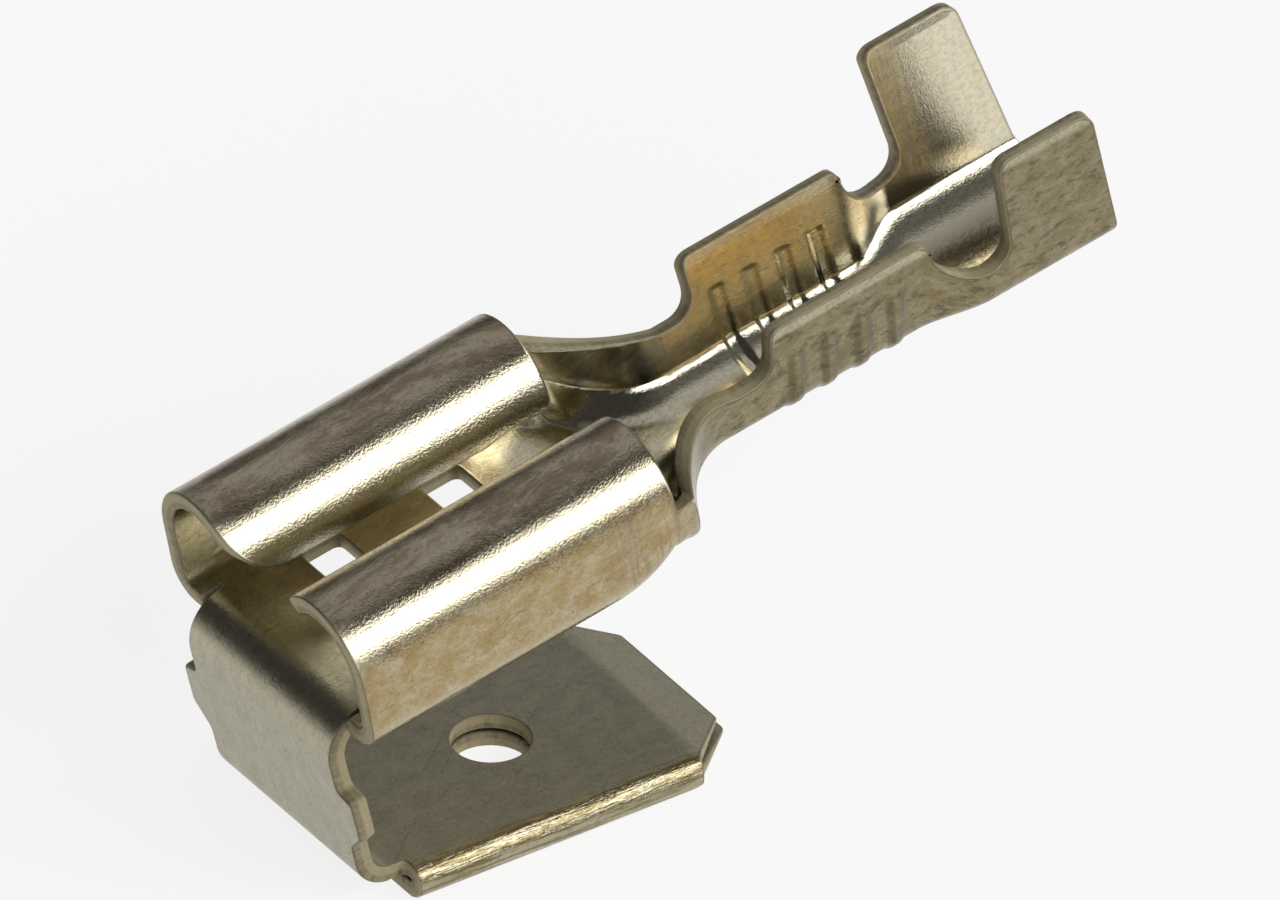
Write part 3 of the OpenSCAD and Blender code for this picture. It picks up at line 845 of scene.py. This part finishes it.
def matt_at(blank):
    """How dull the plating is: most on the tab and the strip, less in the receptacle and the neck."""
    p, s, depth = blank.T
    front = STRIP_MATT * fade_out(p, 0.5, over=1.2) + TAB_MATT * fade_out(p, STRIP_P, over=2.0)
    floor = TROUGH_MATT * fade_out(p, ROLL_REAR + 1.0, over=2.5)
    neck = fade_in(p, FLARE_FRONT, over=1.5) * fade_out(p, WIRE_FRONT + 0.5, over=1.0)
    wall = NECK_MATT * neck * fade_in(np.abs(s), bend_ends(p)[2] - 0.4, over=0.6)
    return np.maximum(front, np.maximum(floor, wall) * ease(depth) * (p > 0))


def hem_at(blank):
    """1 on the round hems of the tab, 0 elsewhere."""
    p, s, _ = blank.T
    s = np.abs(s)
    return fade_in(s, HEM_Y - 0.2, over=0.3) * fade_out(s, HEM_END_S + 0.2, over=0.3) * (p < HEM_P)


def painted_shade_at(blank):
    """Where painted shade darkens the sheet: on the ridges' flanks, in the insulation barrel and in the
    neck's near half.
    """
    p, s, depth = blank.T
    height = section(p, s, 0)[1]
    slope = np.abs(ridges(p + FLANK_REACH, height) - ridges(p - FLANK_REACH, height))
    flank = np.clip(slope / (FLANK_RISE * RIDGE_DEPTH), 0, 1) * (p > WIRE_FRONT)
    grip = fade_out(s, 1.3, over=1.0) * fade_in(p, NOTCH_MID - 0.2, over=0.8)
    neck = fade_in(p, ROLL_REAR - 0.6, over=0.8) * fade_out(p, WIRE_FRONT + 0.5, over=0.8)
    neck = NECK_SHADE * neck * fade_out(s, -0.2, over=0.8)
    return np.maximum(RIDGE_SHADE * flank * ease(1 - depth), np.maximum(grip, neck) * ease(depth))


def polish_at(blank):
    """How polished the inside is below the wings: fully in the barrels, less in the receptacle."""
    p, s, depth = blank.T
    along = mix(TROUGH_POLISH, 1, fade_in(p, ROLL_REAR - 0.8, over=3.0)) * fade_in(p, 0, over=1.5)
    return ease(depth) * along * fade_out(np.abs(s), bend_ends(p)[2] + 0.4, over=0.4)


MARKS = {"tarnish": tarnish_at, "amber": amber_at, "stain": stain_at, "gold": gold_at, "matt": matt_at,
         "hem": hem_at, "painted_shade": painted_shade_at, "polish": polish_at}


def make_mesh():
    """The folded sheet as an object, with its marks and blank points as attributes."""
    faces, points, normals, cut, blank = build_sheet()
    mesh = bpy.data.meshes.new("folded_sheet")
    mesh.vertices.add(len(points))
    mesh.vertices.foreach_set("co", (points * MM).ravel())
    mesh.loops.add(faces.size)
    mesh.loops.foreach_set("vertex_index", faces.ravel().astype(np.int32))
    mesh.polygons.add(len(faces))
    mesh.polygons.foreach_set("loop_start", np.arange(0, faces.size, 3, dtype=np.int32))
    mesh.polygons.foreach_set("use_smooth", np.ones(len(faces), bool))
    mesh.update(calc_edges=True)
    mesh.validate()
    mesh.normals_split_custom_set_from_vertices(normals)
    shares = {"cut": cut, **{name: share_at(blank) for name, share_at in MARKS.items()}}
    for name, values in shares.items():
        mesh.attributes.new(name, "FLOAT", "POINT").data.foreach_set("value", values.astype(np.float32))
    places = mesh.attributes.new("blank", "FLOAT_VECTOR", "POINT")
    places.data.foreach_set("vector", blank.ravel().astype(np.float32))
    sheet = bpy.data.objects.new("folded_sheet", mesh)
    bpy.context.scene.collection.objects.link(sheet)
    return sheet


sheet = make_mesh()
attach(sheet, "root")
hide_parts("terminal")


# Plated brass

PLATE = (0.60, 0.555, 0.41, 1)
BRIGHT = (0.77, 0.715, 0.555, 1)
GOLD = (0.66, 0.53, 0.30, 1)
BRASS = (0.84, 0.69, 0.41, 1)
AMBER = (0.38, 0.275, 0.12, 1)
OLIVE = (0.225, 0.182, 0.09, 1)
GREY = (0.26, 0.245, 0.185, 1)
WARM = (0.46, 0.395, 0.29, 1)
STAIN = (0.28, 0.215, 0.15, 1)
# Dark brown for dirt, spots, marks and scratches, and for the painted shade on the ridges, in the barrel and
# neck and along the cut edges
DIRT_AND_SHADE = (0.07, 0.055, 0.035, 1)
CUT_EDGE = (0.47, 0.415, 0.275, 1)
CUT_TORN = (0.25, 0.215, 0.135, 1)

# Noise over the blank: cells per millimetre, after the stretch of p, s and depth
TEXTURES = {
    "cloud": dict(scale=2.4, stretch=(0.7, 1, 5), detail=8, rough=0.75, warp=0.2),
    "blotch": dict(scale=1.3, stretch=(0.35, 1, 5), detail=8, rough=0.75, warp=0.4),
    "marks": dict(scale=3.2, stretch=(0.6, 1, 5), detail=9, rough=0.8, warp=0.3),
    "curl": dict(scale=0.7, stretch=(0.7, 1, 5), detail=3, rough=0.5, warp=0.2),
    "speckle": dict(scale=9, stretch=(0.8, 1, 5), detail=4, rough=0.7),
    "streak": dict(scale=5, stretch=(0.12, 1, 1), detail=5, rough=0.65),
    "upright": dict(scale=6, stretch=(1, 0.05, 1), detail=4, rough=0.65),
    "grain": dict(scale=20, stretch=(0.9, 1, 1), detail=3, rough=0.6),
    "hem_lines": dict(scale=7, stretch=(0.1, 2.5, 1), detail=4, rough=0.7),
    "shear": dict(scale=9, stretch=(1, 1, 0.05), detail=3, rough=0.6),
    "dent": dict(scale=1.0, stretch=(1, 0.7, 1), detail=1, rough=0.55),
}
SCRATCHES = dict(scale=3, stretch=(0.07, 1.8, 1), detail=3, rough=0.6)
SCRATCH_TURN = 0.7
CURL_LEVEL, CURL_WIDTH = 0.52, 0.005
POLISH_GREY, STAIN_WARMTH, SCRATCH_DARK = 0.25, 0.8, 0.22

# Places along the strip over which the brush lines and the dark marks come in
BRUSH_START = (5.0, 6.6)
DARK_MARKS_START = (7.0, 8.0)

# What each mark adds to the roughness, and what raises the surface: a texture, where it shows and how much
ROUGHER = {"tarnish": 0.14, "amber": 0.1, "gold": 0.2, "hem": -0.25, "polish": -0.05, "matt": 0.26,
           "cut": 0.36}
RAISED = [("upright", "gold", 0.5), ("hem_lines", "hem", 1.8), ("speckle", "cut", 2.5),
          ("dent", "hollow", 12)]
GRAIN_RISE, STREAK_RISE, SCRATCH_SINK = 0.7, 0.12, 0.15
BUMP_STRENGTH, BUMP_HEIGHT = 0.5, 0.00003


class Nodes:
    """Short calls for building a node tree."""

    def __init__(self, tree):
        self.tree = tree

    def add(self, kind, inputs=None, **settings):
        node = self.tree.nodes.new("ShaderNode" + kind)
        for name, value in settings.items():
            setattr(node, name, value)
        for key, value in (inputs or {}).items():
            self.put(node.inputs[key], value)
        return node

    def put(self, socket, value):
        if isinstance(value, bpy.types.NodeSocket):
            self.tree.links.new(value, socket)
        else:
            socket.default_value = value

    def math(self, operation, a, b=0.0, clamp=False):
        return self.add("Math", {0: a, 1: b}, operation=operation, use_clamp=clamp).outputs[0]

    def plus(self, a, b, clamp=False):
        return self.math("ADD", a, b, clamp)

    def times(self, a, b, clamp=False):
        return self.math("MULTIPLY", a, b, clamp)

    def span(self, value, low, high, to_low=0.0, to_high=1.0):
        """The value mapped from low..high to to_low..to_high, smooth and clamped."""
        inputs = {"Value": value, "From Min": low, "From Max": high, "To Min": to_low, "To Max": to_high}
        return self.add("MapRange", inputs, interpolation_type="SMOOTHSTEP").outputs[0]

    def blend(self, share, a, b, mode="MIX"):
        """Colour b over colour a by share."""
        node = self.add("Mix", data_type="RGBA", blend_type=mode)
        self.put(node.inputs[0], share)
        self.put(node.inputs[6], a)
        self.put(node.inputs[7], b)
        return node.outputs[2]

    def noise(self, place, scale, stretch, detail, rough, warp=0.0):
        place = self.add("VectorMath", {0: place, 1: stretch}, operation="MULTIPLY").outputs[0]
        inputs = {"Vector": place, "Scale": scale, "Detail": detail, "Roughness": rough, "Distortion": warp}
        return self.add("TexNoise", inputs).outputs["Fac"]


# In these functions, at holds the marks, the place and the depth at a point, and noise the textures


def plating(n, at, noise):
    """Colour of the plating: bright inside, bare brass, amber, tarnish, stains and dark hem lines."""
    colour = n.blend(at["inside"], PLATE, BRIGHT)
    colour = n.blend(n.times(at["polish"], POLISH_GREY), colour, GREY)
    worn = n.times(at["gold"], n.span(noise["upright"], 0.35, 0.65, 0.3, 1.0))
    colour = n.blend(worn, colour, GOLD)
    bare = n.times(n.span(at["gold"], 0.4, 0.8), n.span(noise["upright"], 0.4, 0.58, 0.3, 1.0))
    colour = n.blend(bare, colour, BRASS)
    amber = n.times(at["amber"], n.span(noise["cloud"], 0.3, 0.65, 0.45, 1.1), clamp=True)
    colour = n.blend(amber, colour, AMBER)
    tarnish = n.times(at["tarnish"], n.span(noise["cloud"], 0.3, 0.7, 0.8, 1.2), clamp=True)
    colour = n.blend(tarnish, colour, n.blend(n.span(at["matt"], 0.2, 0.6), OLIVE, GREY))
    colour = n.blend(n.times(at["stain"], STAIN_WARMTH), colour, WARM)
    colour = n.blend(n.times(at["stain"], n.span(noise["blotch"], 0.43, 0.6)), colour, STAIN)
    return n.blend(n.times(at["hem"], n.span(noise["hem_lines"], 0.42, 0.58, 0.4, 1.0)), colour, OLIVE)


def marked(n, colour, at, noise):
    """The colour with what lies on it: brush lines, spots, dark marks, curled lines and scratches, and
    painted shade.
    """
    brush = n.times(n.span(at["along"], *BRUSH_START), n.span(noise["upright"], 0.46, 0.6, 0, 0.6))
    colour = n.blend(n.times(at["amber"], brush), colour, STAIN)
    dull = n.plus(at["tarnish"], at["amber"], clamp=True)
    dull_or_stained = n.plus(n.plus(at["tarnish"], at["amber"]), at["stain"], clamp=True)
    spots = n.times(n.span(noise["speckle"], 0.54, 0.74, 0, 0.8), n.span(dull_or_stained, 0, 0.6, 0.2, 0.9))
    colour = n.blend(spots, colour, DIRT_AND_SHADE)
    marks = n.times(n.span(noise["marks"], 0.51, 0.6, 0, 0.7), n.span(at["along"], *DARK_MARKS_START))
    colour = n.blend(n.times(at["tarnish"], marks), colour, DIRT_AND_SHADE)
    off_level = n.math("ABSOLUTE", n.math("SUBTRACT", noise["curl"], CURL_LEVEL))
    colour = n.blend(n.times(n.span(off_level, 0, CURL_WIDTH, 0.35, 0), dull), colour, DIRT_AND_SHADE)
    # Painted shade on the ridges' flanks, in the insulation barrel and in the neck's near half
    painted_shade = n.times(at["painted_shade"], n.span(noise["speckle"], 0.35, 0.6, 0.4, 0.8))
    colour = n.blend(painted_shade, colour, DIRT_AND_SHADE)
    return n.blend(n.times(at["scratch"], SCRATCH_DARK), colour, DIRT_AND_SHADE)


def with_cut_edges(n, colour, at, noise):
    """The colour with the bare cut edges, torn towards the inside, and painted shade along their rims where
    they round into the faces.
    """
    torn = n.times(n.span(at["depth"], 0.45, 0.65), n.span(noise["shear"], 0.35, 0.6, 0.3, 0.7))
    torn = n.plus(torn, n.span(noise["shear"], 0.58, 0.7, 0, 0.35), clamp=True)
    colour = n.blend(n.span(at["cut"], 0.3, 0.95), colour, n.blend(torn, CUT_EDGE, CUT_TORN))
    # Painted shade along the rounding between the faces and the cut edges, broken up by speckle
    rim = n.times(n.span(at["cut"], 0.2, 0.5), n.span(at["cut"], 0.6, 0.95, 0.6, 0))
    return n.blend(n.times(rim, n.span(noise["speckle"], 0.3, 0.6, 0.3, 1)), colour, DIRT_AND_SHADE)


def flecked(n, colour, noise):
    """The colour, a little darker and lighter in fine flecks."""
    fleck = n.span(noise["speckle"], 0.3, 0.7, 0.82, 1.12)
    return n.blend(1.0, colour, n.add("CombineColor", {0: fleck, 1: fleck, 2: fleck}).outputs[0], "MULTIPLY")


def roughness(n, at, noise):
    rough = n.span(noise["streak"], 0.3, 0.7, 0.09, 0.15)
    for name, more in ROUGHER.items():
        rough = n.plus(rough, n.times(at[name], more))
    return rough


def relief(n, at, noise):
    """Height of the surface: grain, which is calmer inside, with scratches and the raised textures."""
    grain = n.plus(n.times(noise["grain"], GRAIN_RISE), n.times(noise["streak"], STREAK_RISE))
    calm = n.plus(at["inside"], at["polish"], clamp=True)
    height = n.times(grain, n.span(calm, 0, 0.7, 1, 0.35))
    height = n.math("SUBTRACT", height, n.times(at["scratch"], SCRATCH_SINK))
    for texture, where, rise in RAISED:
        height = n.plus(height, n.times(noise[texture], n.times(at[where], rise)))
    return height


def plated_brass():
    material = bpy.data.materials.new("plated_brass")
    material.use_nodes = True
    n = Nodes(material.node_tree)
    place = n.add("Attribute", attribute_name="blank").outputs["Vector"]
    noise = {name: n.noise(place, **settings) for name, settings in TEXTURES.items()}
    at = {name: n.add("Attribute", attribute_name=name).outputs["Fac"] for name in ("cut", *MARKS)}
    at["along"], _, at["depth"] = n.add("SeparateXYZ", {0: place}).outputs
    at["inside"] = n.times(n.span(at["depth"], 0.6, 1.0), n.span(at["along"], 0.0, 1.0))
    at["hollow"] = n.times(at["inside"], at["matt"])
    aslant = n.add("VectorRotate", {"Vector": place, "Angle": SCRATCH_TURN}, rotation_type="Z_AXIS")
    scratch = n.span(n.noise(aslant.outputs[0], **SCRATCHES), 0.63, 0.7)
    at["scratch"] = n.times(scratch, n.span(at["matt"], 0.3, 0.6))
    colour = marked(n, plating(n, at, noise), at, noise)
    colour = flecked(n, with_cut_edges(n, colour, at, noise), noise)
    height = relief(n, at, noise)
    bump = n.add("Bump", {"Height": height, "Strength": BUMP_STRENGTH, "Distance": BUMP_HEIGHT})
    shader = material.node_tree.nodes["Principled BSDF"]
    n.put(shader.inputs["Base Color"], colour)
    n.put(shader.inputs["Roughness"], roughness(n, at, noise))
    n.put(shader.inputs["Normal"], bump.outputs[0])
    shader.inputs["Metallic"].default_value = 1
    return material


sheet.data.materials.append(plated_brass())


# Stage

# The camera, fitted to the photograph's 1280 x 900 frame
PHOTO_W, PHOTO_H = 1280, 900
VIEW_AZIMUTH = math.radians(55.308)
VIEW_ELEVATION = math.radians(34.638)
VIEW_ROLL = math.radians(-0.379)
VIEW_DISTANCE = 600
PIXELS_PER_MM = 49.029
# Pixel at which the photograph shows the middle of the hole, on top of the tab
HOLE_PIXEL = (490.443, 737.835)
SENSOR_MM = 36
CLIP_START, CLIP_END = 0.01, 10

# The floor, the room and the lamps, with lengths in metres
FLOOR_SIZE = 12
FLOOR_COLOUR = (0.92, 0.92, 0.92, 1)
FLOOR_ROUGHNESS = 0.9
FLOOR_GLOW = 0.84
WHITE = (1, 1, 1, 1)
ROOM_COLOUR = (1.0, 1.0, 0.98, 1)
ROOM_DARK, ROOM_LIGHT = 0.05, 0.15
ROOM_DARK_X, ROOM_LIGHT_X = -0.3, 0.2
PANEL_DISTANCE = 2.5


def direction(azimuth, elevation):
    level = math.cos(elevation)
    return Vector((math.cos(azimuth) * level, math.sin(azimuth) * level, math.sin(elevation)))


def add_camera():
    forward = direction(VIEW_AZIMUTH, -VIEW_ELEVATION)
    level = forward.cross(Vector((0, 0, 1))).normalized()
    below = forward.cross(level)
    right = math.cos(VIEW_ROLL) * level + math.sin(VIEW_ROLL) * below
    down = -math.sin(VIEW_ROLL) * level + math.cos(VIEW_ROLL) * below
    hole_top = Vector((0, 0, TAB_T))
    place = hole_top - forward * VIEW_DISTANCE
    place -= right * (HOLE_PIXEL[0] - PHOTO_W / 2) / PIXELS_PER_MM
    place -= down * (HOLE_PIXEL[1] - PHOTO_H / 2) / PIXELS_PER_MM
    data = bpy.data.cameras.new("camera")
    data.sensor_width = SENSOR_MM
    data.lens = SENSOR_MM * PIXELS_PER_MM * VIEW_DISTANCE / PHOTO_W
    data.clip_start, data.clip_end = CLIP_START, CLIP_END
    camera = bpy.data.objects.new("camera", data)
    turn = Matrix((right, -down, -forward)).transposed().to_4x4()
    camera.matrix_world = Matrix.Translation(place * MM) @ turn
    bpy.context.scene.collection.objects.link(camera)
    bpy.context.scene.camera = camera


def add_floor():
    """A pale floor that shows itself as almost white to the camera and in the metal, and keeps the shadow."""
    bpy.ops.mesh.primitive_plane_add(size=FLOOR_SIZE)
    floor = bpy.context.object
    floor.name = "floor"
    material = bpy.data.materials.new("floor")
    material.use_nodes = True
    n = Nodes(material.node_tree)
    shader = material.node_tree.nodes["Principled BSDF"]
    shader.inputs["Base Color"].default_value = FLOOR_COLOUR
    shader.inputs["Roughness"].default_value = FLOOR_ROUGHNESS
    shader.inputs["Specular IOR Level"].default_value = 0
    ray = n.add("LightPath").outputs
    seen = n.plus(ray["Is Camera Ray"], ray["Is Glossy Ray"])
    seen = n.plus(seen, ray["Is Transmission Ray"], clamp=True)
    white = n.add("Emission", {"Color": WHITE, "Strength": 1.0}).outputs[0]
    lit = n.add("MixShader", {0: n.times(seen, FLOOR_GLOW), 1: shader.outputs[0], 2: white})
    n.put(material.node_tree.nodes["Material Output"].inputs["Surface"], lit.outputs[0])
    floor.data.materials.append(material)


def add_room():
    """A dim room, darker on the side of the receptacle's mouth."""
    world = bpy.data.worlds.new("room")
    world.use_nodes = True
    n = Nodes(world.node_tree)
    towards = n.add("SeparateXYZ", {0: n.add("TexCoord").outputs["Generated"]}).outputs["X"]
    back = world.node_tree.nodes["Background"]
    back.inputs["Color"].default_value = ROOM_COLOUR
    n.put(back.inputs["Strength"], n.span(towards, ROOM_DARK_X, ROOM_LIGHT_X, ROOM_DARK, ROOM_LIGHT))
    bpy.context.scene.world = world


def add_panel(name, azimuth, elevation, width, height, radiance):
    """A soft light that faces the origin, its place and the size it fills given as angles, in degrees."""
    towards = direction(math.radians(azimuth), math.radians(elevation))
    data = bpy.data.lights.new(name, "AREA")
    data.shape = "RECTANGLE"
    data.size = 2 * PANEL_DISTANCE * math.tan(math.radians(width) / 2)
    data.size_y = 2 * PANEL_DISTANCE * math.tan(math.radians(height) / 2)
    data.energy = radiance * math.pi * data.size * data.size_y
    lamp = bpy.data.objects.new(name, data)
    lamp.location = towards * PANEL_DISTANCE
    lamp.rotation_euler = towards.to_track_quat("Z", "Y").to_euler()
    bpy.context.scene.collection.objects.link(lamp)


add_camera()
add_floor()
add_room()
add_panel("key", azimuth=-70, elevation=36.5, width=70, height=30, radiance=4.6)
add_panel("zenith", azimuth=50, elevation=72, width=35, height=35, radiance=0.35)
add_panel("back", azimuth=72, elevation=42, width=24, height=24, radiance=0.35)
add_panel("side", azimuth=30, elevation=14, width=55, height=26, radiance=0.5)

bpy.context.scene.view_settings.view_transform = "Standard"
